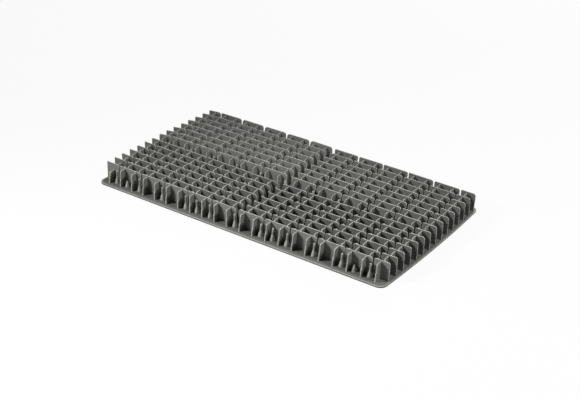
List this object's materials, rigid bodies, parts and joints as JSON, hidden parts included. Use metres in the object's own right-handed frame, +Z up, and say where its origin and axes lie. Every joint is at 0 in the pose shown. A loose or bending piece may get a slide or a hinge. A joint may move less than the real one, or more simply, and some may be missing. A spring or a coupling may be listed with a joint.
{
  "type": "plug tray",
  "caption": "Flat rectangular nursery tray with rows of upright ribbed fins, parted by slits into springy panels, that fence off small open cells with bottle-shaped pins.",
  "frame": {"origin": "centre of the flat underside of the base plate", "axes": "+X along the rows, parallel to the long sides; +Y across the rows, from the side that the ribs face to the back; +Z up"},
  "size_m": [0.56, 0.31, 0.0335],
  "materials": {
    "plate": "matt moulded grey polypropylene",
    "walls": "matt moulded grey polypropylene",
    "ribs": "matt moulded grey polypropylene",
    "pins": "matt moulded grey polypropylene"
  },
  "bodies": {
    "root": {"base_plate": "plate", "wall_row_01": "walls", "wall_row_02": "walls", "wall_row_03": "walls", "wall_row_04": "walls", "wall_row_05": "walls", "wall_row_06": "walls", "wall_row_07": "walls", "wall_row_08": "walls", "wall_row_09": "walls", "wall_row_10": "walls", "wall_row_11": "walls", "wall_row_12": "walls", "wall_row_13": "walls", "wall_row_14": "walls", "wall_row_15": "walls", "rib_row_01": "ribs", "rib_row_02": "ribs", "rib_row_03": "ribs", "rib_row_04": "ribs", "rib_row_05": "ribs", "rib_row_06": "ribs", "rib_row_07": "ribs", "rib_row_08": "ribs", "rib_row_09": "ribs", "rib_row_10": "ribs", "rib_row_11": "ribs", "rib_row_12": "ribs", "rib_row_13": "ribs", "rib_row_14": "ribs", "rib_row_15": "ribs", "pin_feet": "pins", "pin_necks": "pins"}
  },
  "joints": []
}
